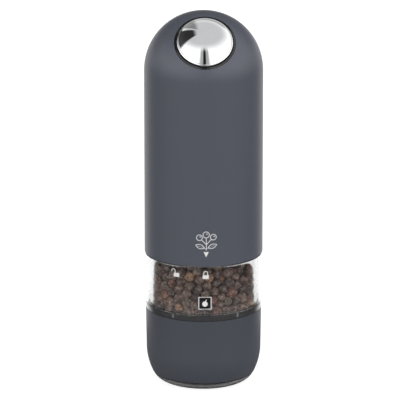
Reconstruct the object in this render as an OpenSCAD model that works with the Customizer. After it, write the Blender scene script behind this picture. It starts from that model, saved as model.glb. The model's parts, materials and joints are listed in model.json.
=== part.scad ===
// Battery-driven pepper mill: a domed housing with a tilted push button, a clear pepper window,
// a burr grinder with an adjusting knob in the base, and a clear cap under the outlet.
// Millimetres, +Z up, front is -Y. The origin is the centre of the face the mill stands on.

/* [Body] */
// Height of the whole mill
mill_h = 170; // [168:1:174]
// Outer diameter of the upper shell
body_d = 53; // [53:0.1:53.6]
// Wall of the upper shell
shell_wall = 1.4; // [1.2:0.1:1.4]
// Height of the upper shell's lower edge
shell_z = 60; // [59.6:0.1:60]

/* [Window] */
// Outer diameter of the clear sleeve
sleeve_d = 52.4; // [52:0.1:52.6]
// Wall of the clear sleeve
sleeve_wall = 1.8; // [1.4:0.1:2]
// Outer diameter of the pepper cup
cup_d = 47; // [46.8:0.1:47]
// Wall of the pepper cup
cup_wall = 1.2; // [1.1:0.1:1.3]
// Height at which the cup and the sleeve stand on the collar
window_z = 36.9; // [36.5:0.1:37]

/* [Base] */
// Height of the seam between the clear cap and the base cover
cap_seam_z = 4.2; // [4:0.1:4.4]
// Radius of the flat that the cap stands on
cap_flat_r = 16.5; // [16:0.1:17]
// Radius of the curve around the cap's foot
cap_curve_r = 7; // [6.8:0.1:7.2]
// Wall of the clear cap
cap_wall = 1.3; // [1.2:0.1:1.5]
// Height of the base cover's top edge
cover_top_z = 34.2; // [33.8:0.1:34.2]
// Wall of the base cover
cover_wall = 1.4; // [1.2:0.1:1.5]

/* [Button] */
// Tilt of the button's axis above the horizontal
button_tilt = 45; // [44:1:48]
// Diameter of the opening in the dome
button_hole_d = 27.2; // [27:0.1:27.4]
// Diameter of the chromed button
button_d = 24.7; // [24:0.1:24.8]
// Travel of the button
button_travel = 2; // [1.5:0.1:2]

/* [Drive] */
// Gear module of both planetary stages
gear_module = 0.65; // [0.65]
// Teeth on each sun gear
sun_teeth = 12; // [12]
// Teeth on each planet gear
planet_teeth = 15; // [15]
// Angle the housing turns between locked and open
lock_angle = 27; // [24:1:28]
// Diameter of the motor can
motor_d = 24.4; // [24:0.1:24.4]
// Diameter of one cell
cell_d = 10.5; // [10:0.1:10.5]
// Length of one cell with its positive cap
cell_h = 44.5; // [44:0.1:44.5]

/* [Hidden] */
$fn = 96;

paint = [0.33, 0.35, 0.39];
clear = [0.92, 0.94, 0.95, 0.35];
black = [0.06, 0.06, 0.07];
dark = [0.14, 0.14, 0.15];
steel = [0.72, 0.73, 0.75];
chrome = [0.88, 0.89, 0.91];
brass = [0.78, 0.62, 0.30];
ceramic = [0.86, 0.85, 0.80];
gear_white = [0.88, 0.87, 0.82];

slack = 0.1;            // gap between fitted plastic parts that move
body_r = body_d / 2;
shell_in_r = body_r - shell_wall;
dome_z = mill_h - body_r;
sleeve_r = sleeve_d / 2;
cup_r = cup_d / 2;
cup_in_r = cup_r - cup_wall;
collar_r = 26;          // radius of the glossy collar over the base cover
cover_mid_r = 25.7;     // base cover radius where its lower curve starts
cover_mid_z = 16;       // height where that curve starts
cover_curve_r = 27.1;   // radius of that curve in section
cap_spigot_r = 21.5;    // outer radius of the ring that pushes up into the base cover
snap_angle = 33.6;      // angle of the sleeve's snap tabs from the front and the back
snap_w = 1.1;

// Grinder heights
bore_r = 14.5;          // bore for the fixed burr
stator_z = 12.5;
stator_top = 28;
spider_z = 10;
skirt_r = 18.2;         // ring around the outlet, seen through the clear cap
skirt_z = 1.7;
screw_ring_r = 20.3;
hub_r = 5;
hub_z = 6;
hub_top = 12.8;
shaft_r = 2.5;
shaft_z = 8.8;
rotor_z = 13.5;
rotor_top = 28;
feed_top = 36.5;
dog_r = 5;
dog_z = 55;
dog_face = 59.6;
dog_top = 63.6;
jaw_half = 20;          // half the angle of one coupling jaw
upper_jaw_at = 100;     // angle of the upper jaws from the lower ones

// Heights in the neck and the lid
neck_z = 60;
neck_top = 68;
neck_r = 23.1;
stop_r = 23.8;
lug_half = 10;          // half the angle of one locking lug
lug_at = -90;           // the first lug sits at the front
lid_plug_z = 63.5;
lid_r = cup_in_r - 0.2;
lid_top = 69.4;
lid_hole_r = 5.8;

// Drive unit heights
frame_r = 24.9;
frame_in_r = 23.95;
floor_z = 70;
floor_top = 72.4;
gearbox_r = 16.2;
carrier2_z = 73;
gear2_z = 75.3;
gear2_top = 80.3;
carrier1_z = 81;
carrier1_top = 82.8;
gear1_z = 83.1;
gear1_top = 87.5;
gearbox_top = 89;
plate_top = 91;
pin_r = 1.2;
planet_bore_r = 1.27;
motor_r = motor_d / 2;
motor_top = 121;
motor_cap_top = 124;
shaft1_r = 1;           // motor shaft

// Cells and their carrier
cell_r = cell_d / 2;
cell_ring_r = 19.5;
cell_z = 94.2;
cell_nub_h = 1;
carrier_in_r = 12.6;
carrier_tube_r = 13.9;
carrier_r = 24.6;
carrier_floor_top = 92.6;
carrier_top = 139.8;
cap_top = 141.6;

// Along the button's axis, measured from the centre of the dome
button_r = button_d / 2;
button_sphere_r = 25;
button_sphere_at = 2;
button_wall = 1.2;
button_skirt_at = 18.4;
well_r = button_hole_d / 2 - 0.15;
well_in_r = button_r + 0.25;
well_floor_at = 14;
well_floor_top = 15.2;
well_rim_sphere_r = body_r - 0.15;
stem_r = 2.4;
stem_end_at = 9.6;
clip_at = 13;
clip_h = 0.8;
plunger_r = 1.6;
plunger_at = 6.4;
switch_at = 2.2;
switch_h = 5;
switch_w = 6;

// Gear geometry
pressure_angle = 20;
ring_teeth = sun_teeth + 2 * planet_teeth;
gear_centres = gear_module * (sun_teeth + planet_teeth) / 2;
addendum = 0.8 * gear_module;
dedendum = 1.25 * gear_module;
backlash = 0.1;

// ---------- shared shapes ----------

// A ring of rectangular section standing on z
module ring(inner, outer, z0, z1) {
    rotate_extrude() translate([inner, z0]) square([outer - inner, z1 - z0]);
}

// A sector of a ring, centred on the angle at
module sector(inner, outer, z0, z1, at, half) {
    rotate([0, 0, at - half])
        rotate_extrude(angle = 2 * half)
            translate([inner, z0]) square([outer - inner, z1 - z0]);
}

// A cylinder between two heights
module rod(r, z0, z1) {
    translate([0, 0, z0]) cylinder(r = r, h = z1 - z0);
}

// Places its children n times around Z
module around(n, r = 0, at = 0) {
    for (i = [0 : n - 1]) rotate([0, 0, at + i * 360 / n]) translate([r, 0, 0]) children();
}

// Local +Z along the button's axis, from the centre of the dome
module on_button_axis() {
    translate([0, 0, dome_z]) rotate([90 - button_tilt, 0, 0]) children();
}

// A pan-head screw with its head down at z0; the shank goes up
module screw_up(head_r, head_h, shank_r, shank_h) {
    difference() {
        cylinder(r = head_r, h = head_h, $fn = 32);
        translate([-head_r, -0.25, -0.01]) cube([2 * head_r, 0.5, 0.5 * head_h]);
        translate([-0.25, -head_r, -0.01]) cube([0.5, 2 * head_r, 0.5 * head_h]);
    }
    translate([0, 0, head_h]) cylinder(r = shank_r, h = shank_h, $fn = 32);
}

// A helical spring as one swept tube
function coil_ring(i, steps, r, pitch, wire, sides) =
    let (a = i * 360 / steps)
    [for (k = [0 : sides - 1])
        let (b = k * 360 / sides, rr = r + wire * cos(b))
        [rr * cos(a), rr * sin(a), pitch * a / 360 + wire * sin(b)]];

module coil(r, wire, turns, height, steps = 14, sides = 6) {
    n = turns * steps;
    pitch = (height - 2 * wire) / turns;
    points = [for (i = [0 : n]) each coil_ring(i, steps, r, pitch, wire, sides)];
    walls = [for (i = [0 : n - 1], k = [0 : sides - 1])
        let (a = i * sides + k, b = i * sides + (k + 1) % sides)
        [a, a + sides, b + sides, b]];
    first = [for (k = [0 : sides - 1]) k];
    last = [for (k = [sides - 1 : -1 : 0]) n * sides + k];
    translate([0, 0, wire]) polyhedron(points, concat([first], walls, [last]), convexity = 10);
}

// ---------- involute gears ----------

function involute_at(r, base) = r <= base ? 0 : tan(acos(base / r)) * 180 / PI - acos(base / r);

// Half the tooth's angle at radius r, for a tooth thinned by half the backlash
function tooth_half(r, teeth) =
    let (pitch_r = gear_module * teeth / 2, base = pitch_r * cos(pressure_angle))
    90 / teeth - (backlash / 4) / pitch_r * 180 / PI
    + involute_at(pitch_r, base) - involute_at(r, base);

// Half the angle of an internal gear's gap at radius r
function gap_half(r, teeth) =
    let (pitch_r = gear_module * teeth / 2, base = pitch_r * cos(pressure_angle))
    90 / teeth + (backlash / 4) / pitch_r * 180 / PI
    + involute_at(pitch_r, base) - involute_at(r, base);

function polar(r, a) = [r * cos(a), r * sin(a)];

// Outline of an external gear, with a tooth at angle 0
function gear_outline(teeth, flank = 4) =
    let (pitch_r = gear_module * teeth / 2,
         base = pitch_r * cos(pressure_angle),
         root = pitch_r - dedendum,
         tip = pitch_r + addendum,
         radii = [root, for (i = [0 : flank]) base + (tip - base) * i / flank])
    [for (t = [0 : teeth - 1])
        let (mid = t * 360 / teeth)
        each concat([for (r = radii) polar(r, mid - tooth_half(r, teeth))],
                    [for (i = [len(radii) - 1 : -1 : 0]) polar(radii[i], mid + tooth_half(radii[i], teeth))])];

// Outline of the hole in an internal gear, with a gap at angle 0
function ring_outline(teeth, flank = 4) =
    let (pitch_r = gear_module * teeth / 2,
         tip = pitch_r - 0.5 * gear_module,
         root = pitch_r + gear_module,
         radii = [for (i = [0 : flank]) tip + (root - tip) * i / flank])
    [for (t = [0 : teeth - 1])
        let (mid = t * 360 / teeth)
        each concat([for (r = radii) polar(r, mid - gap_half(r, teeth))],
                    [for (i = [len(radii) - 1 : -1 : 0]) polar(radii[i], mid + gap_half(radii[i], teeth))])];

module planet(k, z0, z1) {
    color(gear_white)
        rotate([0, 0, 120 * k]) translate([gear_centres, 0, z0])
            difference() {
                linear_extrude(z1 - z0) polygon(gear_outline(planet_teeth));
                translate([0, 0, -1]) cylinder(r = planet_bore_r, h = z1 - z0 + 2, $fn = 32);
            }
}

module sun(z0, z1, bore) {
    difference() {
        translate([0, 0, z0]) linear_extrude(z1 - z0) polygon(gear_outline(sun_teeth));
        if (bore > 0) rod(bore, z0 - 1, z1 + 1, $fn = 32);
    }
}

// ---------- base ----------

// Section of the clear cap's dish, filled, with its outer surface moved in by inset
module cap_section(inset) {
    intersection() {
        union() {
            translate([cap_flat_r, cap_curve_r]) circle(r = cap_curve_r - inset);
            translate([0, inset]) square([cap_flat_r, cap_curve_r - inset]);
        }
        square([body_r, cap_seam_z]);
    }
}

module base_cap() {
    color(clear) rotate_extrude() {
        difference() {
            cap_section(0);
            cap_section(cap_wall);
        }
        translate([cap_spigot_r - 1.1, cap_seam_z - 0.7]) square([1.1, 4]);
    }
}

// Section of the base cover, filled, with its outer surface moved in by inset
module cover_section(inset, bottom) {
    intersection() {
        translate([cover_mid_r - cover_curve_r, cover_mid_z]) circle(r = cover_curve_r - inset);
        translate([0, bottom]) square([body_r, cover_mid_z - bottom]);
    }
    polygon([[0, cover_mid_z], [cover_mid_r - inset, cover_mid_z],
             [collar_r - inset, cover_top_z], [0, cover_top_z]]);
}

module base_cover() {
    color(paint) rotate_extrude() difference() {
        cover_section(0, cap_seam_z);
        cover_section(cover_wall, cap_seam_z + 4);
        translate([0, cap_seam_z - 1]) square([cap_spigot_r + slack, 6]);
    }
}

module burr_housing() {
    color(black) difference() {
        union() {
            rotate_extrude() difference() {
                polygon([[bore_r, stator_z], [22.9, stator_z], [22.9, 14], [24.1, 14],
                         [24.1, cover_top_z], [collar_r, cover_top_z], [collar_r, window_z],
                         [cup_in_r - 0.6, window_z], [12.6, stator_top + 1.5],
                         [12.6, stator_top], [bore_r, stator_top]]);
                translate([16.3, stator_z - 1]) square([6.2, 16.5]);
            }
            around(3, screw_ring_r, 30) rod(2.1, stator_z, stator_top + 1, $fn = 48);
            around(3, 16.2, 90) translate([0, -0.6, stator_z + 2]) cube([6.4, 1.2, 14]);
        }
        around(3, screw_ring_r, 30) rod(1.1, stator_z - 1, stator_z + 8, $fn = 32);
        snap_places() translate([collar_r - 1.2, -snap_w / 2, window_z - 2]) cube([2, snap_w, 3]);
    }
}

// The four places around the collar where the sleeve snaps in
module snap_places() {
    for (side = [-90, 90], offset = [-snap_angle, snap_angle]) rotate([0, 0, side + offset]) children();
}

module stator_burr() {
    color(ceramic) difference() {
        rotate_extrude() polygon([[bore_r, stator_z], [bore_r, stator_top], [12.5, stator_top],
                                  [11, stator_z + 6.5], [12.2, stator_z]]);
        around(20) translate([10.5, -0.6, stator_z - 1]) rotate([14, 0, 0]) cube([2.6, 1.1, 22]);
    }
}

module bearing_spider() {
    color(dark) difference() {
        union() {
            ring(13, 22.6, spider_z, stator_z);
            ring(skirt_r - 1.2, skirt_r, skirt_z, spider_z + 1);
            rod(hub_r, hub_z, hub_top);
            around(3, 0, 90) translate([3.8, -1.5, spider_z]) cube([10, 3, stator_z - spider_z]);
        }
        rod(3.8, 9.5, hub_top + 1);
        translate([0, 0, hub_z - 1]) cylinder(r = 3.3, h = 5, $fn = 6);
        around(3, screw_ring_r, 30) rod(1.3, spider_z - 1, stator_z + 1, $fn = 32);
    }
}

module shaft_bush() {
    color(brass) ring(shaft_r + 0.06, 3.8, 9.5, hub_top);
}

module spider_screws() {
    color(steel) around(3, screw_ring_r, 30) translate([0, 0, spider_z - 1.4]) screw_up(1.8, 1.4, 1.05, 9);
}

module adjuster_knob() {
    color(dark) difference() {
        union() {
            difference() {
                rod(8.5, 2.9, 5.9);
                around(24, 8.75) rod(0.6, 2, 7, $fn = 16);
            }
            rod(6.4, 5.9, 8.2);
        }
        rod(hub_r + 0.12, 5.9, 9);
        rod(2.1, 4.2, 7, $fn = 48);
        translate([-6, -0.8, 2]) cube([12, 1.6, 1.6]);
    }
}

module thrust_pin() {
    color(steel) {
        translate([0, 0, 6.4]) cylinder(r = 3.05, h = shaft_z - 6.4, $fn = 6);
        rod(2, 4.6, 6.4, $fn = 48);
    }
}

module drive_shaft() {
    color(steel) {
        rod(shaft_r, shaft_z, dog_z + 2);
        translate([-1.6, -1.6, dog_z + 2]) cube([3.2, 3.2, 2.2]);
    }
}

module rotor_burr() {
    color(ceramic) difference() {
        rotate_extrude() polygon([[shaft_r, rotor_z], [11.1, rotor_z], [10, stator_z + 6.5],
                                  [5.5, rotor_top], [shaft_r, rotor_top]]);
        around(12) translate([4.8, -0.8, stator_z + 6]) rotate([-20, 0, 0]) cube([7, 1.8, 12]);
        around(30) translate([9.6, -0.3, rotor_z - 1]) rotate([-12, 0, 0]) cube([3, 0.6, 7]);
    }
}

module feed_screw() {
    color(dark) difference() {
        union() {
            rod(3.8, rotor_top, feed_top);
            translate([0, 0, rotor_top])
                linear_extrude(feed_top - rotor_top, twist = 300, slices = 24, $fn = 24)
                    translate([2, 0]) scale([1, 0.7]) circle(r = 4.4);
        }
        rod(shaft_r, rotor_top - 1, feed_top + 1);
    }
}

module shaft_dog() {
    color(dark) difference() {
        union() {
            rod(dog_r, dog_z, dog_face);
            for (at = [0, 180]) sector(2.2, dog_r, dog_face - 0.5, dog_top, at, jaw_half);
        }
        rod(shaft_r, dog_z - 1, dog_z + 2);
        translate([-1.6, -1.6, dog_z + 1]) cube([3.2, 3.2, 3.2]);
    }
}

// ---------- window ----------

module clear_sleeve() {
    color(clear) {
        ring(sleeve_r - sleeve_wall, sleeve_r, window_z, shell_z - 0.4);
        ring(cup_r + 0.15, sleeve_r - sleeve_wall, shell_z - 1.2, shell_z - 0.4);
        snap_places() translate([collar_r - 1.1, -snap_w / 2 + 0.05, window_z - 1.9]) cube([1.05, snap_w - 0.1, 1.9]);
    }
}

module pepper_cup() {
    color(clear) {
        rotate_extrude() polygon([[cup_in_r, window_z], [cup_r, window_z], [cup_r, neck_z],
                                  [stop_r - 0.1, neck_z], [stop_r - 0.1, neck_z + 1], [neck_r, neck_z + 1],
                                  [neck_r, neck_top], [cup_in_r, neck_top]]);
        around(3, 0, lug_at + 60 - lock_angle / 2)
            sector(neck_r - 0.3, stop_r, neck_z + 0.5, neck_top - 0.3, 0, stop_half());
    }
}

// Half the angle of each stop between two lugs
function stop_half() = 60 - lug_half - lock_angle / 2 - 0.5;

// ---------- lid ----------

module reservoir_lid() {
    color(black) difference() {
        union() {
            ring(lid_r - 1.5, lid_r, lid_plug_z, neck_top);
            ring(lid_hole_r, lid_r, neck_top - 2, neck_top);
            ring(lid_hole_r, cup_in_r + 0.4, neck_top, lid_top);
            ring(lid_hole_r, lid_hole_r + 1.4, lid_plug_z, neck_top);
        }
        ring(lid_r - 0.9, lid_r + 1, 64.4, 65.8);
    }
}

module lid_seal() {
    color([0.75, 0.75, 0.74]) ring(lid_r - 0.9, cup_in_r - 0.06, 64.4, 65.8);
}

// ---------- drive unit ----------

module drive_frame() {
    color(dark) {
        difference() {
            union() {
                ring(frame_in_r, frame_r, shell_z + 0.4, plate_top);
                ring(5.6, frame_in_r, floor_z, floor_top);
                ring(gearbox_r + 0.8, frame_in_r, gearbox_top + 0.5, plate_top);
                around(6, 0, 30) translate([gearbox_r + 0.8, -0.8, floor_top]) cube([7.4, 1.6, gearbox_top + 0.5 - floor_top]);
            }
            around(6) translate([20, -6, floor_top + 3]) cube([8, 12, 10]);
            rotate([0, 0, 90]) translate([22.9, 0, 0]) rod(0.95, floor_z - 1, floor_top + 1, $fn = 32);
        }
        around(3, 0, lug_at) sector(neck_r + 0.15, frame_in_r + 0.3, 62, 65, 0, lug_half);
    }
}

module output_bush() {
    color(brass) ring(4.06, 5.6, floor_z, floor_top);
}

module ring_gear() {
    color(dark) difference() {
        rod(gearbox_r, floor_top, gearbox_top);
        translate([0, 0, floor_top - 1]) linear_extrude(gearbox_top - floor_top + 2) polygon(ring_outline(ring_teeth));
        around(3, 15.35, 60) rod(0.5, gearbox_top - 6, gearbox_top + 1, $fn = 24);
    }
}

module planet_pins(z0, z1) {
    around(3, gear_centres) rod(pin_r, z0, z1, $fn = 32);
}

module output_coupling() {
    color(steel) {
        difference() {
            union() {
                rod(12.4, carrier2_z, carrier2_z + 2);
                rod(4, floor_z - 0.4, carrier2_z);
                rod(5.2, dog_top + 0.8, floor_z - 0.4);
                for (at = [upper_jaw_at, upper_jaw_at + 180]) sector(2.2, dog_r, dog_face + 0.8, dog_top + 0.8, at, jaw_half);
            }
            rod(1.9, dog_top, floor_z - 2, $fn = 48);
        }
        planet_pins(carrier2_z + 2, gear2_top + 0.1);
    }
}

// Presses the drive shaft down onto the thrust pin
module coupling_spring() {
    color(steel) translate([0, 0, dog_face + 0.1]) coil(1.35, 0.25, 5, floor_z - 2.1 - dog_face);
}

module planet_2a() { planet(0, gear2_z, gear2_top); }
module planet_2b() { planet(1, gear2_z, gear2_top); }
module planet_2c() { planet(2, gear2_z, gear2_top); }

module planet_carrier() {
    color(gear_white) {
        rod(12.4, carrier1_z, carrier1_top);
        planet_pins(carrier1_top, gear1_top + 0.1);
    }
}

module sun_gear_2() {
    color(steel) sun(gear2_z, carrier1_z, 0);
}

module planet_1a() { planet(0, gear1_z, gear1_top); }
module planet_1b() { planet(1, gear1_z, gear1_top); }
module planet_1c() { planet(2, gear1_z, gear1_top); }

module motor_pinion() {
    color(brass) sun(gear1_z, gear1_top + 0.6, shaft1_r);
}

module gearbox_plate() {
    color(steel) difference() {
        rod(gearbox_r, gearbox_top, plate_top);
        rod(4.6, gearbox_top - 1, plate_top + 1);
        around(3, 15.35, 60) rod(0.55, gearbox_top - 1, plate_top + 1, $fn = 24);
    }
}

module gearbox_screws() {
    color(steel) around(3, 15.35, 60) translate([0, 0, plate_top + 0.6]) mirror([0, 0, 1]) screw_up(0.8, 0.6, 0.48, 6);
}

module motor_can() {
    color(steel) difference() {
        union() {
            rod(motor_r, plate_top, motor_top);
            rod(3, gearbox_top + 0.4, plate_top);
        }
        rod(motor_r - 0.8, plate_top + 1.5, motor_top + 1);
        rod(shaft1_r + 0.4, gearbox_top - 1, plate_top + 3, $fn = 48);
        around(2, 0, 90) translate([8, -2.5, plate_top + 4]) cube([8, 5, 3]);
    }
}

module motor_magnets() {
    color(dark) for (at = [0, 180]) sector(9.7, motor_r - 0.8, plate_top + 4, motor_top - 4, at, 65);
}

module motor_armature() {
    color(brass) {
        rod(shaft1_r, gear1_z, motor_cap_top - 1, $fn = 48);
        difference() {
            rod(9.3, plate_top + 5, motor_top - 6);
            around(3, 7.2, 30) translate([-1, -1.3, 0]) cube([4, 2.6, 200]);
            rod(shaft1_r, plate_top, motor_top, $fn = 48);
        }
        difference() {
            rod(3.4, motor_top - 6, motor_top - 1);
            rod(shaft1_r, motor_top - 7, motor_top, $fn = 48);
        }
    }
}

module motor_end_cap() {
    color(black) difference() {
        rod(motor_r - 0.1, motor_top, motor_cap_top);
        rod(shaft1_r + 0.1, motor_top - 1, motor_cap_top - 0.6, $fn = 48);
        for (x = [-7, 7]) translate([x - 1.5, -0.3, motor_top - 1]) cube([3, 0.6, 6]);
    }
}

module motor_terminals() {
    color(brass) for (x = [-7, 7]) translate([x - 1.4, -0.25, motor_top + 0.5]) cube([2.8, 0.5, 6]);
}

// Shines down into the rim of the clear cup
module lamp() {
    color([0.95, 0.95, 0.85]) rotate([0, 0, 90]) translate([22.9, 0, 0]) {
        rod(0.9, lid_top + 1.1, floor_top + 1, $fn = 32);
        translate([0, 0, lid_top + 1.1]) sphere(r = 0.9, $fn = 32);
    }
}

module battery_carrier() {
    color(black) difference() {
        union() {
            ring(carrier_in_r, carrier_tube_r, plate_top, carrier_top);
            ring(carrier_in_r, carrier_r, plate_top, carrier_floor_top);
            around(6, 0, 30) translate([carrier_tube_r - 0.3, -1.4, carrier_floor_top - 0.1])
                cube([8.6, 2.8, carrier_top - carrier_floor_top + 0.1]);
            around(6, 0, 30) for (z = [100, 115, 130])
                translate([carrier_tube_r + 1, -4.2, z]) cube([5.4, 8.4, 3]);
        }
        around(6, cell_ring_r) rod(cell_r + 0.2, carrier_floor_top, carrier_top + 1, $fn = 64);
        around(3, 15.35, 60) rod(1.1, plate_top - 1, plate_top + 0.9, $fn = 24);
        around(3, 20.5, 30) rod(0.8, carrier_top - 8, carrier_top + 1, $fn = 24);
    }
}

module contact_springs() {
    color(steel) around(6, cell_ring_r) difference() {
        translate([0, 0, carrier_floor_top]) cylinder(r1 = 3.4, r2 = 2.2, h = cell_z - carrier_floor_top, $fn = 48);
        translate([0, 0, carrier_floor_top - 0.01]) cylinder(r1 = 2.9, r2 = 1.7, h = cell_z - carrier_floor_top + 0.02, $fn = 48);
    }
}

// One cell with its positive cap up
module cell() {
    rod(cell_r, 0, cell_h - cell_nub_h, $fn = 64);
    rod(1.9, cell_h - cell_nub_h, cell_h, $fn = 48);
}

module battery_cells() {
    color([0.25, 0.32, 0.40]) for (i = [0 : 5])
        rotate([0, 0, 60 * i]) translate([cell_ring_r, 0, cell_z])
            if (i % 2 == 0) cell();
            else translate([0, 0, cell_h]) mirror([0, 0, 1]) cell();
}

module contact_plates() {
    color(steel) around(3, 0, 30) {
        sector(17.2, 21.8, carrier_top - 0.6, carrier_top - 0.2, -30, 9);
        sector(17.2, 21.8, carrier_top - 0.6, carrier_top - 0.2, 30, 9);
    }
    color(steel) around(6, cell_ring_r) rod(1.6, cell_z + cell_h, carrier_top - 0.6, $fn = 32);
}

module carrier_cap() {
    color(black) difference() {
        rod(carrier_r, carrier_top, cap_top);
        around(3, 20.5, 30) rod(0.9, carrier_top - 1, cap_top + 1, $fn = 24);
        rod(6, carrier_top - 1, cap_top + 1);
    }
}

module carrier_screws() {
    color(steel) around(3, 20.5, 30) translate([0, 0, cap_top + 1]) mirror([0, 0, 1]) screw_up(1.8, 1, 0.75, 7);
}

// Wedge that carries the switch square to the button's axis
module switch_bracket() {
    slope = tan(90 - button_tilt);
    foot = dome_z + switch_at / cos(90 - button_tilt);
    color(black) {
        translate([-4, 0, 0]) rotate([90, 0, 90])
            linear_extrude(8) polygon([[(cap_top - foot) / slope, cap_top], [3, cap_top],
                                       [3, foot + 0.8 * slope], [0.8, foot + 0.8 * slope]]);
        translate([-9, -1.5, cap_top]) cube([5, 3, 1.2]);
        translate([4, -1.5, cap_top]) cube([5, 3, 1.2]);
    }
}

module switch_body() {
    color(dark) on_button_axis() difference() {
        translate([-switch_w / 2, -switch_w / 2, switch_at]) cube([switch_w, switch_w, switch_h]);
        rod(plunger_r + 0.1, plunger_at - button_travel - 0.2, switch_at + switch_h + 1, $fn = 32);
    }
}

module switch_plunger() {
    color([0.75, 0.2, 0.15]) on_button_axis() rod(plunger_r, plunger_at, stem_end_at - 0.1, $fn = 32);
}

// ---------- upper shell and button ----------

module upper_shell() {
    color(paint) difference() {
        union() {
            rod(body_r, shell_z, dome_z);
            translate([0, 0, dome_z]) sphere(r = body_r);
        }
        rod(shell_in_r, shell_z - 1, dome_z);
        translate([0, 0, dome_z]) sphere(r = shell_in_r);
        on_button_axis() rod(button_hole_d / 2, 5, mill_h);
    }
}

module button_well() {
    color(black) on_button_axis() difference() {
        union() {
            intersection() {
                rod(well_r, well_floor_at, mill_h);
                sphere(r = well_rim_sphere_r);
            }
            rod(15, 17.4, 19.8);
        }
        rod(well_in_r, well_floor_top, mill_h);
        rod(stem_r + 0.15, 0, mill_h, $fn = 48);
    }
}

module button_stem() {
    color(dark) on_button_axis() difference() {
        intersection() {
            rod(stem_r, stem_end_at, mill_h, $fn = 48);
            translate([0, 0, button_sphere_at]) sphere(r = button_sphere_r - button_wall);
        }
        ring(stem_r - 0.5, stem_r + 1, clip_at, clip_at + clip_h);
    }
}

module stem_clip() {
    color(steel) on_button_axis() difference() {
        ring(stem_r - 0.5, 4.2, clip_at, clip_at + clip_h);
        translate([-1.5, 0, clip_at - 1]) cube([3, 6, 3]);
    }
}

module button_spring() {
    color(steel) on_button_axis() translate([0, 0, well_floor_top + 0.05]) coil(5.2, 0.4, 5, 9.4);
}

module push_button() {
    color(chrome) on_button_axis() difference() {
        intersection() {
            translate([0, 0, button_sphere_at]) sphere(r = button_sphere_r);
            rod(button_r, button_skirt_at, mill_h);
        }
        intersection() {
            translate([0, 0, button_sphere_at]) sphere(r = button_sphere_r - button_wall);
            rod(button_r - 1.1, 0, mill_h);
        }
    }
}

base_cap();
base_cover();
burr_housing();
stator_burr();
bearing_spider();
shaft_bush();
spider_screws();
adjuster_knob();
thrust_pin();
drive_shaft();
rotor_burr();
feed_screw();
shaft_dog();
clear_sleeve();
pepper_cup();
reservoir_lid();
lid_seal();
drive_frame();
output_bush();
ring_gear();
output_coupling();
coupling_spring();
planet_2a();
planet_2b();
planet_2c();
planet_carrier();
sun_gear_2();
planet_1a();
planet_1b();
planet_1c();
motor_pinion();
gearbox_plate();
gearbox_screws();
motor_can();
motor_magnets();
motor_armature();
motor_end_cap();
motor_terminals();
lamp();
battery_carrier();
contact_springs();
battery_cells();
contact_plates();
carrier_cap();
carrier_screws();
switch_bracket();
switch_body();
switch_plunger();
upper_shell();
button_well();
button_stem();
stem_clip();
button_spring();
push_button();
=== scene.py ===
import json
import math
import random

import bmesh
import bpy
import numpy as np
from mathutils import Matrix, Vector, noise


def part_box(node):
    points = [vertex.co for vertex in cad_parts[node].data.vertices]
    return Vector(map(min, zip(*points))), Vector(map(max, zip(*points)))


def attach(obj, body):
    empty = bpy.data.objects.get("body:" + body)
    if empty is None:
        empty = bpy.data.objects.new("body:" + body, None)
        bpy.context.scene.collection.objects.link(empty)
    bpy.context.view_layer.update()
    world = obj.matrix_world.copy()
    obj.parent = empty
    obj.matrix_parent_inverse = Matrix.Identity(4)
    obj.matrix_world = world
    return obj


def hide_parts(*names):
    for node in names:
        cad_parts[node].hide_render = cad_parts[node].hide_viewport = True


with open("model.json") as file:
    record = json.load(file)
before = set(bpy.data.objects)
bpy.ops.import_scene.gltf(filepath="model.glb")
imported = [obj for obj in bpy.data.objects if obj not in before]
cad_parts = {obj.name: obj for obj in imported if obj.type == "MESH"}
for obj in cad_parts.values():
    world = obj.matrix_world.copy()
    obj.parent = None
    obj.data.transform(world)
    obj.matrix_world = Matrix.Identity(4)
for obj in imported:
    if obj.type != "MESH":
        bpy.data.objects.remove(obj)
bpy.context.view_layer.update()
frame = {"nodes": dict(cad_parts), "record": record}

# A battery pepper mill. Lengths are millimetres unless a name says otherwise; Z is up and the front
# faces -Y.
MM = 0.001
rng = random.Random(7)


# ---------- sizes, read from the frame ----------
def span(node):
    """The node's lowest and highest corners."""
    lo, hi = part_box(node)
    return [v / MM for v in lo], [v / MM for v in hi]


shell_lo, shell_hi = span("upper_shell")
BODY_R = (shell_hi[0] - shell_lo[0]) / 2
SHELL_Z = shell_lo[2]
DOME_Z = shell_hi[2] - BODY_R
SLEEVE_R, _, SLEEVE_TOP = span("clear_sleeve")[1]
WINDOW_Z = span("pepper_cup")[0][2]
cover_lo, cover_hi = span("base_cover")
COVER_R, COVER_Z, COVER_TOP = cover_hi[0], cover_lo[2], cover_hi[2]
SCREW_R, _, SCREW_TOP = span("feed_screw")[1]
button_lo, button_hi = span("push_button")
BUTTON_R = (button_hi[0] - button_lo[0]) / 2
HOLE_R = BUTTON_R + 1.25
TILT = math.radians(45)  # the button's axis above the horizontal
WALL = 1.4  # of the shell and of the base cover


# ---------- shader helpers ----------
def mix_rgb(nt, factor, a, b, blend="MIX"):
    n = nt.nodes.new("ShaderNodeMix")
    n.data_type = "RGBA"
    n.blend_type = blend
    for i, v in ((0, factor), (6, a), (7, b)):
        if hasattr(v, "is_linked"):
            nt.links.new(v, n.inputs[i])
        else:
            n.inputs[i].default_value = v if i == 0 else (*v, 1)
    return n.outputs[2]


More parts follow.
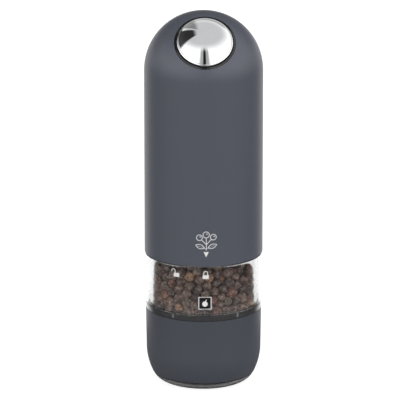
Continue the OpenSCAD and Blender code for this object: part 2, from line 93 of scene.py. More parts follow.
def noise_out(nt, scale, detail=4, rough=0.6, stretch=(1, 1, 1)):
    """Noise in object space; scale counts features in a metre."""
    tc = nt.nodes.new("ShaderNodeTexCoord")
    mp = nt.nodes.new("ShaderNodeMapping")
    mp.inputs["Scale"].default_value = stretch
    n = nt.nodes.new("ShaderNodeTexNoise")
    n.inputs["Scale"].default_value = scale
    n.inputs["Detail"].default_value = detail
    n.inputs["Roughness"].default_value = rough
    nt.links.new(tc.outputs["Object"], mp.inputs["Vector"])
    nt.links.new(mp.outputs["Vector"], n.inputs["Vector"])
    return n.outputs["Fac"]


def map_range(nt, value, lo, hi, to_lo, to_hi):
    n = nt.nodes.new("ShaderNodeMapRange")
    nt.links.new(value, n.inputs["Value"])
    for name, v in (("From Min", lo), ("From Max", hi), ("To Min", to_lo), ("To Max", to_hi)):
        n.inputs[name].default_value = v
    return n.outputs["Result"]


def add_bump(nt, height, strength, depth_m):
    n = nt.nodes.new("ShaderNodeBump")
    n.inputs["Strength"].default_value = strength
    n.inputs["Distance"].default_value = depth_m
    nt.links.new(height, n.inputs["Height"])
    nt.links.new(n.outputs["Normal"], nt.nodes["Principled BSDF"].inputs["Normal"])


def new_material(name):
    m = bpy.data.materials.new(name)
    m.use_nodes = True
    return m, m.node_tree, m.node_tree.nodes["Principled BSDF"]


def material(name, color, color_2, rough, rough_2, scale=600, bump=0.1, bump_scale=2500,
             depth=0.00002, stretch=(1, 1, 1), **sockets):
    """Colour and roughness drift between two values; a finer noise gives the grain."""
    m, nt, bsdf = new_material(name)
    drift = map_range(nt, noise_out(nt, scale, stretch=stretch), 0.3, 0.7, 0, 1)
    nt.links.new(mix_rgb(nt, drift, color, color_2), bsdf.inputs["Base Color"])
    sheen = map_range(nt, noise_out(nt, scale * 0.4), 0.3, 0.7, rough, rough_2)
    nt.links.new(sheen, bsdf.inputs["Roughness"])
    add_bump(nt, noise_out(nt, bump_scale, 2, stretch=stretch), bump, depth)
    for k, v in sockets.items():
        bsdf.inputs[k.replace("_", " ")].default_value = v
    return m


def lacquer(name, shade):
    """Satin graphite lacquer with a fine orange peel; a shade below 1 darkens its colour, which paints shade
    into it.
    """
    low, high = (0.096, 0.105, 0.130), (0.110, 0.120, 0.148)
    return material(name, [c * shade for c in low], [c * shade for c in high], 0.40, 0.46, scale=3000,
                    bump=0.25, bump_scale=5200, depth=0.000008, Metallic=0.15,
                    Coat_Weight=0.06, Coat_Roughness=0.3, Specular_IOR_Level=0.4)


# ---------- materials ----------
paint = lacquer("graphite_paint", 1.0)
# the base cover takes the shell's lacquer darkened to 0.72: painted shade on the lower body
shaded_cover_paint = lacquer("graphite_paint_cover_painted_shade", 0.72)
clear = material("clear_acrylic", (0.985, 0.99, 0.99), (0.995, 0.995, 0.995), 0.0, 0.008,
                 scale=160, bump=0.004, bump_scale=300, depth=0.000002, Transmission_Weight=1.0, IOR=1.49,
                 Specular_IOR_Level=0.3)
# the cup touches the pepper, so its own refraction is kept weak
cup_clear = material("cup_acrylic", (0.985, 0.99, 0.99), (0.995, 0.995, 0.995), 0.0, 0.006,
                     scale=160, bump=0.004, bump_scale=300, depth=0.000002, Transmission_Weight=1.0, IOR=1.15)
gloss_black = material("black_gloss", (0.010, 0.010, 0.012), (0.016, 0.016, 0.018), 0.08, 0.14,
                       scale=900, bump=0.05)
collar_gloss = material("collar_gloss", (0.034, 0.034, 0.036), (0.046, 0.046, 0.048), 0.16, 0.24,
                        scale=900, bump=0.05, Coat_Weight=1.0, Coat_Roughness=0.08)
black_plastic = material("black_plastic", (0.050, 0.045, 0.044), (0.070, 0.063, 0.060), 0.45, 0.6,
                         scale=1400, bump=0.35, bump_scale=3500, depth=0.00003)
ceramic = material("ceramic", (0.70, 0.68, 0.62), (0.80, 0.78, 0.73), 0.35, 0.5, scale=900, bump=0.3)
steel = material("steel", (0.55, 0.55, 0.56), (0.68, 0.68, 0.69), 0.22, 0.36, scale=900, bump=0.3,
                 bump_scale=900, stretch=(1, 1, 12), Metallic=1.0)
chrome = material("chrome", (0.86, 0.87, 0.88), (0.90, 0.90, 0.91), 0.02, 0.05, scale=300, bump=0.03,
                  bump_scale=600, Metallic=1.0)
brass = material("brass", (0.60, 0.42, 0.17), (0.72, 0.53, 0.24), 0.25, 0.38, scale=900, Metallic=1.0)
silicone = material("silicone", (0.48, 0.48, 0.47), (0.58, 0.58, 0.57), 0.55, 0.7)
acetal = material("acetal", (0.68, 0.66, 0.60), (0.76, 0.74, 0.68), 0.35, 0.5, scale=800, bump=0.15)
sleeve_print = material("cell_sleeve", (0.05, 0.09, 0.16), (0.07, 0.12, 0.20), 0.2, 0.3, scale=500)
red = material("signal_red", (0.42, 0.03, 0.02), (0.50, 0.05, 0.03), 0.35, 0.5)
lens = material("lamp_lens", (0.95, 0.94, 0.85), (0.99, 0.98, 0.9), 0.05, 0.1, Transmission_Weight=0.7)
mark_ink = material("mark_ink", (0.93, 0.91, 0.89), (0.98, 0.96, 0.94), 0.4, 0.5, scale=5000)
silver_ink = material("silver_ink", (0.80, 0.80, 0.82), (0.90, 0.90, 0.92), 0.25, 0.4, scale=5000)

BY_SLOT = {
    "graphite_paint": paint, "clear_acrylic": clear, "black_gloss": gloss_black,
    "black_plastic": black_plastic, "ceramic": ceramic, "steel": steel, "chrome": chrome,
    "brass": brass, "silicone": silicone, "acetal": acetal, "cell_sleeve": sleeve_print,
    "signal_red": red, "lamp_lens": lens,
}
SLOT_OF = {s["node"]: s["material_slot"] for s in frame["record"]["subparts"]}
for node, obj in frame["nodes"].items():
    obj.data.materials.clear()
    obj.data.materials.append(BY_SLOT[SLOT_OF[node]])


# ---------- mesh helpers ----------
def new_mesh(name, verts, faces, mat, angle=32):
    me = bpy.data.meshes.new(name)
    me.from_pydata([Vector(v) * MM for v in verts], [], faces)
    me.validate()
    me.shade_smooth()
    me.set_sharp_from_angle(angle=math.radians(angle))
    ob = bpy.data.objects.new(name, me)
    bpy.context.scene.collection.objects.link(ob)
    me.materials.append(mat)
    return ob


def merge(ob):
    """Joins doubled points and turns the faces outward."""
    bm = bmesh.new()
    bm.from_mesh(ob.data)
    bmesh.ops.remove_doubles(bm, verts=bm.verts, dist=1e-8)
    bmesh.ops.recalc_face_normals(bm, faces=bm.faces)
    bm.to_mesh(ob.data)
    bm.free()


def rounded(profile, radius, steps=4):
    """The closed outline with each corner rounded; radius is one number or one per corner."""
    out = []
    n = len(profile)
    for i, p in enumerate(profile):
        r = radius[i] if isinstance(radius, (list, tuple)) else radius
        p = np.array(p, float)
        a = np.array(profile[i - 1], float) - p
        b = np.array(profile[(i + 1) % n], float) - p
        la, lb = np.hypot(*a), np.hypot(*b)
        a, b = a / la, b / lb
        cosine = float(np.clip(a @ b, -1, 1))
        if r <= 0 or cosine < -0.985:
            out.append(tuple(p))
            continue
        half = math.acos(cosine) / 2
        t = min(r / math.tan(half), 0.45 * la, 0.45 * lb)
        s, e = p + a * t, p + b * t
        for k in range(steps + 1):
            u = k / steps
            out.append(tuple((1 - u) ** 2 * s + 2 * u * (1 - u) * p + u * u * e))
    return out


def lathe(name, profile, mat, segments=192, angle=32):
    """A closed (radius, height) outline, turned about Z."""
    verts, faces = [], []
    n = len(profile)
    for i in range(segments):
        a = 2 * math.pi * i / segments
        verts += [(max(r, 0.0) * math.cos(a), max(r, 0.0) * math.sin(a), z) for r, z in profile]
    for i in range(segments):
        j = (i + 1) % segments
        for k in range(n):
            l = (k + 1) % n
            if profile[k][0] <= 1e-9 and profile[l][0] <= 1e-9:
                continue
            faces.append((i * n + k, j * n + k, j * n + l, i * n + l))
    ob = new_mesh(name, verts, faces, mat, angle)
    merge(ob)
    return ob


def arc(cx, cz, r, a0, a1, steps):
    """Points on a circle, from a0 to a1 degrees."""
    angles = [math.radians(a0 + (a1 - a0) * i / steps) for i in range(steps + 1)]
    return [(cx + r * math.cos(a), cz + r * math.sin(a)) for a in angles]


def on_axis(ob):
    """Turns a mesh made about Z from the dome's centre on to the button's axis."""
    turn = Matrix.Rotation(math.pi / 2 - TILT, 4, "X")
    ob.data.transform(Matrix.Translation((0, 0, DOME_Z * MM)) @ turn)
    return ob


# ---------- upper shell ----------
BEVEL = 0.1  # of the lower edge
outline = ([(BODY_R - WALL, SHELL_Z), (BODY_R - BEVEL, SHELL_Z), (BODY_R, SHELL_Z + BEVEL)]
           + arc(0, DOME_Z, BODY_R, 0, 90, 72)
           + arc(0, DOME_Z, BODY_R - WALL, 90, 0, 60))
shell = lathe("shell_skin", outline, paint, 288)
cutter = lathe("cutter", [(0, 5), (HOLE_R, 5), (HOLE_R, 40), (0, 40)], paint, 192)
on_axis(cutter)
mod = shell.modifiers.new("hole", "BOOLEAN")
mod.object = cutter
mod.operation = "DIFFERENCE"
mod.solver = "EXACT"
bpy.context.view_layer.update()
cut = bpy.data.meshes.new_from_object(shell.evaluated_get(bpy.context.evaluated_depsgraph_get()))
shell.modifiers.clear()
shell.data = cut
cut.shade_smooth()
cut.set_sharp_from_angle(angle=math.radians(28))
bpy.data.objects.remove(cutter)
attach(shell, "shell")
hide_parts("upper_shell")

# ---------- button and its well; heights are along the button's axis ----------
FACE_R, FACE_RISE = 25.0, 2  # the face is part of a sphere; its centre lies this far up the axis
LIP, LIP_H = 0.7, 0.55  # the rounded edge of the face
SKIRT_END, SKIRT_WALL = 18.4, 1.1
UNDERSIDE = 25.2
face_end = BUTTON_R - LIP
edge_at = FACE_RISE + math.sqrt(FACE_R ** 2 - face_end ** 2)
top = [(FACE_R * math.sin(t), FACE_RISE + FACE_R * math.cos(t))
       for t in [math.asin(face_end / FACE_R) * i / 40 for i in range(41)]]
edge = [(face_end + LIP * math.sin(t), edge_at - LIP_H + LIP_H * math.cos(t))
        for t in [math.pi / 2 * i / 8 for i in range(1, 9)]]
skirt = [(BUTTON_R, SKIRT_END), (BUTTON_R - SKIRT_WALL, SKIRT_END),
         (BUTTON_R - SKIRT_WALL, edge_at - 2 * SKIRT_WALL), (0, UNDERSIDE)]
button = on_axis(lathe("button_cap", top + edge + skirt, chrome, 192, 60))
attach(button, "button")
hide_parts("push_button")

WELL_R = HOLE_R - 0.15
WELL_IN = BUTTON_R + 0.25
STEM_R = 2.55
WELL_FLOOR, WELL_BASE = 15.2, 14
GROOVE_R, GROOVE_LOW, GROOVE_HIGH = 15, 17.4, 19.8
REACH = BODY_R - 0.15  # the rim follows the dome just under its surface
rim = [(r, math.sqrt(REACH ** 2 - r ** 2)) for r in (WELL_R, WELL_IN)]
well_outline = [(STEM_R, WELL_BASE), (WELL_R, WELL_BASE), (WELL_R, GROOVE_LOW), (GROOVE_R, GROOVE_LOW),
                (GROOVE_R, GROOVE_HIGH), (WELL_R, GROOVE_HIGH), *rim, (WELL_IN, WELL_FLOOR),
                (STEM_R, WELL_FLOOR)]
well = on_axis(lathe("button_bezel", rounded(well_outline, [0.1] * 6 + [0.12, 0.12, 0.1, 0.1]),
                     gloss_black, 160))
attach(well, "shell")
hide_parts("button_well")

# ---------- window: outer sleeve with its snap tabs, and the inner cup ----------
SLEEVE_IN = SLEEVE_R - 1.8
CUP_OUT, CUP_IN = 23.5, 22.3
LIP_R, LIP_Z = CUP_OUT + 0.15, SLEEVE_TOP - 0.8  # the sleeve's top reaches in towards the cup
sleeve_outline = rounded([(SLEEVE_IN, WINDOW_Z), (SLEEVE_R, WINDOW_Z), (SLEEVE_R, SLEEVE_TOP),
                          (LIP_R, SLEEVE_TOP), (LIP_R, LIP_Z), (SLEEVE_IN, LIP_Z)],
                         [0.2, 0.3, 0.4, 0.1, 0.1, 0.3])
sleeve = lathe("window_sleeve", sleeve_outline, clear, 224)
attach(sleeve, "grinder")
# the sleeve's bottom face is painted opaque pale grey: a painted highlight in place of the bright glow of the
# clear acrylic edge
edge_highlight_mat = material("edge_acrylic_painted_highlight", (0.80, 0.82, 0.84), (0.90, 0.92, 0.94), 0.2, 0.3)
# the clear snap tabs are painted opaque mid grey, a painted glint that shows them light against the black
# band
tab_glint_mat = material("tab_acrylic_painted_glint", (0.16, 0.165, 0.17), (0.22, 0.225, 0.23), 0.2, 0.3)
sleeve.data.materials.append(edge_highlight_mat)
for face in sleeve.data.polygons:
    if face.center.z < (WINDOW_Z + 0.03) * MM:
        face.material_index = 1
TAB_AT, TAB_HALF_W, TAB_H = 33.6, 0.5, 1.9  # the first in degrees from the front and from the back
TAB_RADII = (24.95, 26.06)
tabs = []
for side in (-90, 90):
    for off in (-TAB_AT, TAB_AT):
        a = math.radians(side + off)
        c, s = math.cos(a), math.sin(a)
        tabs += [(r * c - t * s, r * s + t * c, z) for r in TAB_RADII
                 for t in (-TAB_HALF_W, TAB_HALF_W) for z in (WINDOW_Z - TAB_H, WINDOW_Z)]
BOX_FACES = [(0, 1, 3, 2), (4, 6, 7, 5), (0, 2, 6, 4), (1, 5, 7, 3), (0, 4, 5, 1), (2, 3, 7, 6)]
tab = new_mesh("window_tabs", tabs,
               [tuple(8 * i + k for k in f) for i in range(4) for f in BOX_FACES], tab_glint_mat)
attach(tab, "grinder")
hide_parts("clear_sleeve")

SHOULDER_R, SHOULDER_LOW, SHOULDER_HIGH = 23.8, 60, 61
NECK_R, NECK_TOP = 23.1, 68
cup_outline = rounded([(CUP_IN, WINDOW_Z), (CUP_OUT, WINDOW_Z), (CUP_OUT, SHOULDER_LOW),
                       (SHOULDER_R, SHOULDER_LOW), (SHOULDER_R, SHOULDER_HIGH), (NECK_R, SHOULDER_HIGH),
                       (NECK_R, NECK_TOP), (CUP_IN, NECK_TOP)], 0.15)
cup = lathe("cup_wall", cup_outline, cup_clear, 224)
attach(cup, "grinder")

# three stops of the bayonet on the cup's neck, each a sector with this (radius, height) section
STOP = [(23.05, 60.9), (23.8, 60.9), (23.8, 67.7), (23.05, 67.7)]
STOP_MID, STOP_HALF, STOP_STEPS = -43.5, 36, 24
stop_parts, stop_faces = [], []
for k in range(3):
    mid = STOP_MID + 120 * k
    base = len(stop_parts)
    for i in range(STOP_STEPS + 1):
        a = math.radians(mid - STOP_HALF + 2 * STOP_HALF * i / STOP_STEPS)
        stop_parts += [(r * math.cos(a), r * math.sin(a), z) for r, z in STOP]
    for i in range(STOP_STEPS):
        near, far = base + 4 * i, base + 4 * (i + 1)
        for q in range(4):
            w = (q + 1) % 4
            stop_faces.append((near + q, near + w, far + w, far + q))
    stop_faces.append((base, base + 3, base + 2, base + 1))
    stop_faces.append(tuple(base + 4 * STOP_STEPS + q for q in range(4)))
stops = new_mesh("neck_stops", stop_parts, stop_faces, cup_clear)
merge(stops)
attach(stops, "grinder")
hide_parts("pepper_cup")

# ---------- band, cover, cap ----------
BAND_IN, BAND_R, SLIT = 24.4, 26.0, 0.02
band_outline = [(BAND_IN, COVER_TOP + SLIT), (BAND_R, COVER_TOP + SLIT),
                (BAND_R + 0.02, WINDOW_Z - SLIT), (BAND_IN, WINDOW_Z - SLIT)]
band = lathe("collar_band", rounded(band_outline, [0.1, 0.2, 0.42, 0.1], 6), collar_gloss, 224)
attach(band, "grinder")

# below BULGE_Z the cover's side is an arc that pulls in to the seam with the cap
BULGE_R, WAIST_R, BULGE_Z = 27.1, 25.7, 16.0
SEAM = 0.15
FLANGE_R, FLANGE_TOP = 21.6, 9.2
low = math.degrees(math.asin((COVER_Z - BULGE_Z) / BULGE_R))
inner_low = math.degrees(math.asin((FLANGE_TOP - BULGE_Z) / (BULGE_R - WALL)))
seam_r = WAIST_R - BULGE_R + BULGE_R * math.cos(math.radians(low)) - SEAM
cover_outline = ([(FLANGE_R, COVER_Z + SEAM), (seam_r, COVER_Z)]
                 + arc(WAIST_R - BULGE_R, BULGE_Z, BULGE_R, low + 0.4, 0, 32)
                 + [(COVER_R, COVER_TOP - 0.2), (COVER_R - 0.2, COVER_TOP), (COVER_R - WALL, COVER_TOP)]
                 + [(WAIST_R - WALL, BULGE_Z)]
                 + arc(WAIST_R - BULGE_R, BULGE_Z, BULGE_R - WALL, 0, inner_low, 16)[1:]
                 + [(FLANGE_R, FLANGE_TOP)])
cover = lathe("cover_skin", cover_outline, shaded_cover_paint, 256)
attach(cover, "grinder")
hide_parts("base_cover")

# the cap is a dish: a flat foot, a curved wall and a spigot ring
FOOT_R, CURVE, CAP_WALL = 16.5, 7.0, 1.3
SPIGOT = [(21.5, COVER_Z), (21.45, COVER_Z + 3.3), (20.45, COVER_Z + 3.3), (20.4, COVER_Z)]
outer_end = math.degrees(math.asin((COVER_Z - CURVE) / CURVE))
inner_end = math.degrees(math.asin((COVER_Z - CURVE) / (CURVE - CAP_WALL)))
cap_outline = ([(0, 0)] + arc(FOOT_R, CURVE, CURVE, -90, outer_end, 24) + SPIGOT
               + arc(FOOT_R, CURVE, CURVE - CAP_WALL, inner_end - 4, -90, 18) + [(0, CAP_WALL)])
cap = lathe("cap_dish", cap_outline, clear, 256)
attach(cap, "cap")
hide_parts("base_cap")

# ---------- marks on the front, as flat outlines (x, z) ----------
PROUD = 0.02
SHELL_MARK_R = BODY_R + PROUD
WINDOW_MARK_R = SLEEVE_R + PROUD


def wrap(x, z, r):
    return (r * math.sin(x / r), -r * math.cos(x / r), z)


def polygons(name, outlines, mat, r=SHELL_MARK_R, body="shell"):
    """Lays outlines on the cylinder of radius r, each filled from its middle."""
    verts, faces = [], []
    for pts in outlines:
        base, n = len(verts), len(pts)
        verts.append(wrap(sum(p[0] for p in pts) / n, sum(p[1] for p in pts) / n, r))
        verts += [wrap(x, z, r) for x, z in pts]
        faces += [(base, base + 1 + i, base + 1 + (i + 1) % n) for i in range(n)]
    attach(new_mesh(name, verts, faces, mat), body)


def disc(cx, cz, r, n=28):
    """A polygon of n corners."""
    return arc(cx, cz, r, 0, 360 - 360 / n, n - 1)


def rectangle(x0, z0, x1, z1):
    return [(x0, z0), (x1, z0), (x1, z1), (x0, z1)]


def stroke(points, w):
    """One quad for each stretch of a line of width w."""
    quads = []
    for (x0, z0), (x1, z1) in zip(points, points[1:]):
        d = math.hypot(x1 - x0, z1 - z0)
        nx, nz = -(z1 - z0) / d * w / 2, (x1 - x0) / d * w / 2
        ex, ez = (x1 - x0) / d * w * 0.12, (z1 - z0) / d * w * 0.12
        quads.append([(x0 - ex + nx, z0 - ez + nz), (x0 - ex - nx, z0 - ez - nz),
                      (x1 + ex - nx, z1 + ez - nz), (x1 + ex + nx, z1 + ez + nz)])
    return quads


def leaf(x, z, length, width, turn):
    """A pointed leaf about (x, z), turned by turn radians."""
    upper = [(length * (i / 14 - 0.5), width * math.sin(math.pi * i / 14)) for i in range(15)]
    pts = upper + [(u, -v) for u, v in reversed(upper[:-1])]
    c, s = math.cos(turn), math.sin(turn)
    return [(x + u * c - v * s, z + u * s + v * c) for u, v in pts]


# a generic sprig: a stem, three round berries and two leaves, all in thin line
MARK_X, SPRIG_Z, ARROW_Z = 0.2, 71.8, 66.8
LINE, STALK_LINE = 0.34, 0.2
fork = (MARK_X + 0.1, SPRIG_Z - 1.6)
sprig = stroke([(MARK_X, SPRIG_Z - 4.2), (MARK_X + 0.15, SPRIG_Z - 1.4), (MARK_X, SPRIG_Z + 1.5)], LINE)
sprig += stroke([fork, (MARK_X - 2.1, SPRIG_Z + 0.6)], LINE)
sprig += stroke([fork, (MARK_X + 2.3, SPRIG_Z + 0.8)], LINE)
for dx, dz, r in ((0.0, 2.9, 1.4), (-3.0, 1.6, 1.3), (3.2, 1.8, 1.3)):
    x, z = MARK_X + dx, SPRIG_Z + dz
    sprig += stroke(arc(x, z, r, 0, 360, 32), LINE) + [disc(x + 0.35, z + 0.35, 0.3, 12)]
for dx, dz, turn, tip_x, tip_z in ((-2.7, -2.5, -0.35, -3.6, -2.2), (2.8, -2.4, 0.35, 3.7, -2.1)):
    sprig += stroke(leaf(MARK_X + dx, SPRIG_Z + dz, 4.2, 0.95, turn), LINE)
    sprig += stroke([(MARK_X, SPRIG_Z - 3.6), (MARK_X + tip_x, SPRIG_Z + tip_z)], STALK_LINE)
polygons("sprig_mark", sprig, silver_ink)
arrow = [(MARK_X - 1.15, ARROW_Z), (MARK_X, ARROW_Z - 2.5), (MARK_X + 1.15, ARROW_Z)]
polygons("arrow_mark", [arrow], mark_ink)


def padlock(cx, cz, s, opened=False):
    """A padlock of scale s; when open, its shackle stands to the left."""
    mid = cx + (-1.45 * s if opened else 0)
    body = [rectangle(cx - 1.25 * s, cz - 1.0 * s, cx + 1.25 * s, cz + 0.75 * s)]
    arch = [(mid + 0.8 * s, cz + 0.75 * s), (mid + 0.8 * s, cz + 1.5 * s)]
    arch += arc(mid, cz + 1.5 * s, 0.8 * s, 20, 180, 8)
    arch.append((mid - 0.8 * s, cz + (1.15 if opened else 0.75) * s))
    return body + stroke(arch, 0.34 * s)


LOCK_SCALE = 1.1
polygons("lock_mark", padlock(0, 55.2, LOCK_SCALE), mark_ink, WINDOW_MARK_R, "grinder")
polygons("unlock_mark", padlock(-13.4, 55.4, LOCK_SCALE, True), mark_ink, WINDOW_MARK_R, "grinder")

# a plain berry in a square
SQUARE_X, SQUARE_Z, SQUARE_HALF, SQUARE_LINE = -0.3, 42.9, 2.75, 0.36
square = rectangle(SQUARE_X - SQUARE_HALF, SQUARE_Z - SQUARE_HALF,
                   SQUARE_X + SQUARE_HALF, SQUARE_Z + SQUARE_HALF)
berry = [disc(SQUARE_X, SQUARE_Z - 0.35, 1.25)]
berry += stroke([(SQUARE_X + 0.1, SQUARE_Z + 0.7), (SQUARE_X + 0.7, SQUARE_Z + 1.75)], SQUARE_LINE)
polygons("kind_ground", [square], gloss_black, WINDOW_MARK_R, "grinder")
polygons("kind_mark", stroke(square + square[:1], SQUARE_LINE) + berry, mark_ink,
         WINDOW_MARK_R + PROUD, "grinder")


# ---------- peppercorns ----------
CORNS, CORN_R = 560, (1.9, 2.5)
CHAMBER_TOP = 63.3
SCREW_CLEAR, SCREW_CLEAR_H = 0.9, 3.2  # kept free beside and above the feed screw
SHAFT_CLEAR_R = 2.5
LID_CLEAR_R, LID_CLEAR_Z = 5.0, 53.5
THROAT_R, THROAT_Z, FUNNEL_SLOPE = 12.6, WINDOW_Z - 7.2, 0.75


def corn_shapes(count):
    """Wrinkled balls that reach 1 from their middle, as points and triangles."""
    out = []
    for _ in range(count):
        bm = bmesh.new()
        bmesh.ops.create_icosphere(bm, subdivisions=4, radius=1)
        seed = Vector((rng.uniform(-50, 50), rng.uniform(-50, 50), rng.uniform(-50, 50)))
        for v in bm.verts:
            n = v.co.normalized()
            ridge = abs(noise.noise(n * 2.6 + seed)) * 0.8 + abs(noise.noise(n * 5.2 + seed)) * 0.4
            lump = noise.noise(n * 1.2 + seed)
            v.co = n * (1.0 + 0.06 * lump - 0.22 * (0.5 - min(ridge, 0.5)) ** 1.3)
        points = np.array([v.co[:] for v in bm.verts])
        triangles = np.array([[v.index for v in f.verts] for f in bm.faces])
        bm.free()
        out.append((points / np.abs(points).max(), triangles))
    return out


def pack_corns(n, steps):
    """Lets n balls sink and push each other apart, inside the cup and clear of shaft and feed screw."""
    g = np.random.default_rng(11)
    rad = g.uniform(*CORN_R, n)
    a, q = g.uniform(0, 2 * np.pi, n), np.sqrt(g.uniform(0.08, 0.92, n)) * 20
    p = np.stack([q * np.cos(a), q * np.sin(a), g.uniform(38, 68, n)], 1)
    for _ in range(steps):
        p[:, 2] -= 0.10
        for _ in range(3):
            d = p[:, None, :] - p[None, :, :]
            dist = np.sqrt((d ** 2).sum(2)) + 1e-6
            need = (rad[:, None] + rad[None, :]) * 0.97 - dist
            np.fill_diagonal(need, 0)
            need[need < 0] = 0
            p += (d / dist[..., None] * need[..., None] * 0.32).sum(1)
            r = np.hypot(p[:, 0], p[:, 1]) + 1e-6
            high = np.where(p[:, 2] > LID_CLEAR_Z, LID_CLEAR_R, SHAFT_CLEAR_R)
            inner = np.where(p[:, 2] < SCREW_TOP + SCREW_CLEAR_H, SCREW_R + SCREW_CLEAR, high)
            kept = np.clip(r, inner + rad * 0.98, CUP_IN - rad * 1.01)
            p[:, 0] *= kept / r
            p[:, 1] *= kept / r
            funnel = np.minimum(THROAT_Z + (kept - THROAT_R) * FUNNEL_SLOPE, WINDOW_Z)
            p[:, 2] = np.maximum(p[:, 2], np.where(kept > THROAT_R, funnel, THROAT_Z) + rad)
    keep = p[:, 2] + rad < CHAMBER_TOP
    return p[keep], rad[keep]


def corn_material():
    """Brown to grey corns, one in twenty pale, with raised patches and painted shade in the thin folds
    between them.
    """
    m, nt, bsdf = new_material("peppercorn")
    tint = nt.nodes.new("ShaderNodeAttribute")
    tint.attribute_name = "tint"
    ramp = nt.nodes.new("ShaderNodeValToRGB")
    tones = [(0.0, (0.370, 0.255, 0.215)), (0.2, (0.480, 0.340, 0.285)), (0.4, (0.285, 0.215, 0.195)),
             (0.56, (0.430, 0.335, 0.270)), (0.72, (0.520, 0.290, 0.230)), (0.84, (0.340, 0.270, 0.225)),
             (0.95, (0.720, 0.450, 0.300))]
    ramp.color_ramp.interpolation = "CONSTANT"
    elements = ramp.color_ramp.elements
    for i, (position, color) in enumerate(tones):
        element = elements[i] if i < 2 else elements.new(position)
        element.position = position
        element.color = (*color, 1)
    nt.links.new(tint.outputs["Fac"], ramp.inputs["Fac"])
    grain = map_range(nt, noise_out(nt, 700, 3, 0.55), 0.32, 0.68, 0.1, 0.95)

    # a noise bends the edges of the folds
    place = nt.nodes.new("ShaderNodeTexCoord")
    swirl = nt.nodes.new("ShaderNodeTexNoise")
    swirl.inputs["Scale"].default_value = 520
    nt.links.new(place.outputs["Object"], swirl.inputs["Vector"])
    warp = nt.nodes.new("ShaderNodeVectorMath")
    warp.operation = "MULTIPLY_ADD"
    nt.links.new(swirl.outputs["Color"], warp.inputs[0])
    warp.inputs[1].default_value = (0.0016, 0.0016, 0.0016)
    nt.links.new(place.outputs["Object"], warp.inputs[2])
    cells = nt.nodes.new("ShaderNodeTexVoronoi")
    cells.feature = "DISTANCE_TO_EDGE"
    cells.inputs["Scale"].default_value = 460
    nt.links.new(warp.outputs[0], cells.inputs["Vector"])
    fold_relief_and_shade = map_range(nt, cells.outputs["Distance"], 0.0, 0.11, 0.38, 1.0)

    mottled = mix_rgb(nt, 0.7, ramp.outputs["Color"], grain, "OVERLAY")
    # the folds darken the colour down to 0.38, painted shade in the creases; the same mask gives the bump
    nt.links.new(mix_rgb(nt, 1.0, mottled, fold_relief_and_shade, "MULTIPLY"), bsdf.inputs["Base Color"])
    nt.links.new(map_range(nt, grain, 0, 1, 0.5, 0.75), bsdf.inputs["Roughness"])
    add_bump(nt, fold_relief_and_shade, 0.8, 0.00025)
    return m


shapes = corn_shapes(9)
places, radii = pack_corns(CORNS, 200)
verts, faces, tints, count = [], [], [], 0
for place, radius in zip(places, radii):
    points, triangles = shapes[rng.randrange(len(shapes))]
    angle = rng.uniform(0, 6.28)
    axis = Vector((rng.gauss(0, 1), rng.gauss(0, 1), rng.gauss(0, 1))).normalized()
    points = points @ np.array(Matrix.Rotation(angle, 3, axis)).T * radius
    verts.append((points + place) * MM)
    faces.append(triangles + count)
    tints.append(np.full(len(points), rng.random()))
    count += len(points)
corn_mesh = bpy.data.meshes.new("peppercorns")
corn_mesh.from_pydata(np.concatenate(verts).tolist(), [], np.concatenate(faces).tolist())
corn_mesh.shade_smooth()
attribute = corn_mesh.attributes.new("tint", "FLOAT", "POINT")
attribute.data.foreach_set("value", np.concatenate(tints).astype(np.float32))
corn_mesh.materials.append(corn_material())
corns = bpy.data.objects.new("peppercorns", corn_mesh)
bpy.context.scene.collection.objects.link(corns)
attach(corns, "grinder")

# ---------- floor ----------
floor_mat = material("pale_floor", (0.40, 0.40, 0.40), (0.42, 0.42, 0.42), 0.7, 0.8, scale=60, bump=0.02,
                     bump_scale=120, Emission_Color=(1, 1, 1, 1))
# it shines white like the room, but throws little light up on to the mill
floor_nt = floor_mat.node_tree
seen = floor_nt.nodes.new("ShaderNodeLightPath")
floor_nt.links.new(map_range(floor_nt, seen.outputs["Is Camera Ray"], 0, 1, 0.0, 0.86),
                   floor_nt.nodes["Principled BSDF"].inputs["Emission Strength"])
FLOOR_R, FLOOR_Z = 95.0, -0.3
floor_rim = [(x, y, FLOOR_Z) for x, y in disc(0, 0, FLOOR_R, 96)]
floor = new_mesh("floor", floor_rim, [tuple(range(len(floor_rim)))], floor_mat)

# ---------- studio ----------
world = bpy.data.worlds.new("studio")
bpy.context.scene.world = world
world.use_nodes = True
wt = world.node_tree
backdrop = wt.nodes["Background"]
split = wt.nodes.new("ShaderNodeSeparateXYZ")
wt.links.new(wt.nodes.new("ShaderNodeTexCoord").outputs["Generated"], split.inputs[0])
X, Y, Z = split.outputs


def op(kind, a, b=None):
    n = wt.nodes.new("ShaderNodeMath")
    n.operation = kind
    for sock, v in zip(n.inputs, (a, b)):
        if v is None:
            continue
        if hasattr(v, "is_linked"):
            wt.links.new(v, sock)
        else:
            sock.default_value = v
    return n.outputs[0]


def step(value, lo, hi):
    """0 below lo, 1 above hi, smooth between; the other way round when lo is above hi."""
    n = wt.nodes.new("ShaderNodeMapRange")
    n.interpolation_type = "SMOOTHSTEP"
    wt.links.new(value, n.inputs["Value"])
    a, b = min(lo, hi), max(lo, hi)
    n.inputs["From Min"].default_value, n.inputs["From Max"].default_value = a, b
    n.inputs["To Min"].default_value, n.inputs["To Max"].default_value = (0, 1) if lo < hi else (1, 0)
    return n.outputs["Result"]


def both(*masks):
    out = masks[0]
    for mask in masks[1:]:
        out = op("MULTIPLY", out, mask)
    return out


def dim(level, mask, to):
    """level, brought down to `to` of itself where mask is 1."""
    return op("MULTIPLY", level, op("SUBTRACT", 1.0, op("MULTIPLY", mask, 1.0 - to)))


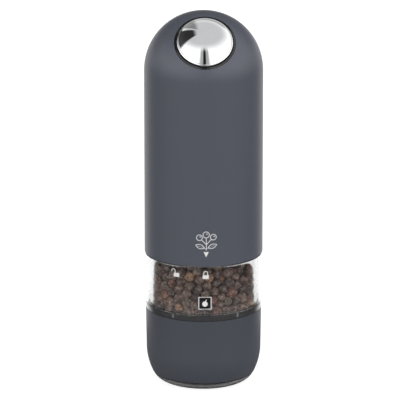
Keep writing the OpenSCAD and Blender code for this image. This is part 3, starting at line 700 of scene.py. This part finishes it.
# X, Y and Z are the direction a ray leaves in: X to the right, Y to the back. Soft boxes stand in front,
# left and right with a darker gap between them; the room below and high behind is dark, and a white sheet
# hangs low behind the mill.
aside = op("DIVIDE", op("ABSOLUTE", X), op("MAXIMUM", op("MULTIPLY", Y, -1.0), 0.001))
leftward = op("DIVIDE", Y, op("MAXIMUM", op("MULTIPLY", X, -1.0), 0.001))
front = step(Y, 0.0, -0.05)
level = op("ADD", 1.25, op("MULTIPLY", both(front, step(Z, 0.42, 0.18)), 1.1))
level = dim(level, both(step(aside, 0.24, 0.14), front, step(Z, 0.86, 0.7), step(Z, 0.0, 0.1)), 0.35)
level = dim(level, both(step(aside, 0.08, 0.035), front, step(Z, 0.86, 0.7), step(Z, 0.0, 0.1)), 0.03)
level = dim(level, both(step(Y, 0.35, 0.5), step(Z, 0.04, 0.13), step(Z, 0.84, 0.74)), 0.10)
level = dim(level, both(step(X, -0.16, -0.3), step(Z, 0.5, 0.6), step(leftward, -0.5, -0.3),
                        step(leftward, 0.75, 0.6)), 0.05)
level = dim(level, step(Z, 0.72, 0.90), 0.50)
level = dim(level, both(step(X, -0.1, -0.22), step(Z, 0.4, 0.5), step(leftward, 0.85, 1.0)), 0.4)
level = dim(level, step(Z, 0.08, -0.08), 0.07)
level = op("ADD", level, op("MULTIPLY", both(step(Z, -0.42, -0.6), step(Y, 0.2, 0.0)), 0.1))
SHEET = 1.2
sheet = both(step(Y, 0.45, 0.85), step(Z, 0.1, 0.0), step(Z, -0.56, -0.44))
level = op("ADD", op("MULTIPLY", level, op("SUBTRACT", 1.0, sheet)), op("MULTIPLY", sheet, SHEET))
# the room itself looks plain white from every side
path = wt.nodes.new("ShaderNodeLightPath")
level = op("MAXIMUM", level, op("MULTIPLY", path.outputs["Is Camera Ray"], SHEET))
wt.links.new(level, backdrop.inputs["Strength"])
backdrop.inputs["Color"].default_value = (1, 1, 1, 1)

# ---------- camera ----------
DISTANCE_M, AZIMUTH, ELEVATION = 2.0, math.radians(-2.0), math.radians(16)
AIM_Z_M, AIM_SIDE_M = 0.0832, 0.0016
cam_data = bpy.data.cameras.new("camera")
cam_data.lens, cam_data.sensor_width = 401.8, 36.0
cam_data.clip_start, cam_data.clip_end = 0.1, 20
cam = bpy.data.objects.new("camera", cam_data)
bpy.context.scene.collection.objects.link(cam)
back = Vector((math.sin(AZIMUTH) * math.cos(ELEVATION), -math.cos(AZIMUTH) * math.cos(ELEVATION),
               math.sin(ELEVATION)))
right = Vector((math.cos(AZIMUTH), math.sin(AZIMUTH), 0))
cam.location = Vector((0, 0, AIM_Z_M)) - right * AIM_SIDE_M + back * DISTANCE_M
cam.rotation_mode = "QUATERNION"
cam.rotation_quaternion = (-back).to_track_quat("-Z", "Y")
bpy.context.scene.camera = cam
bpy.context.scene.view_settings.view_transform = "Standard"
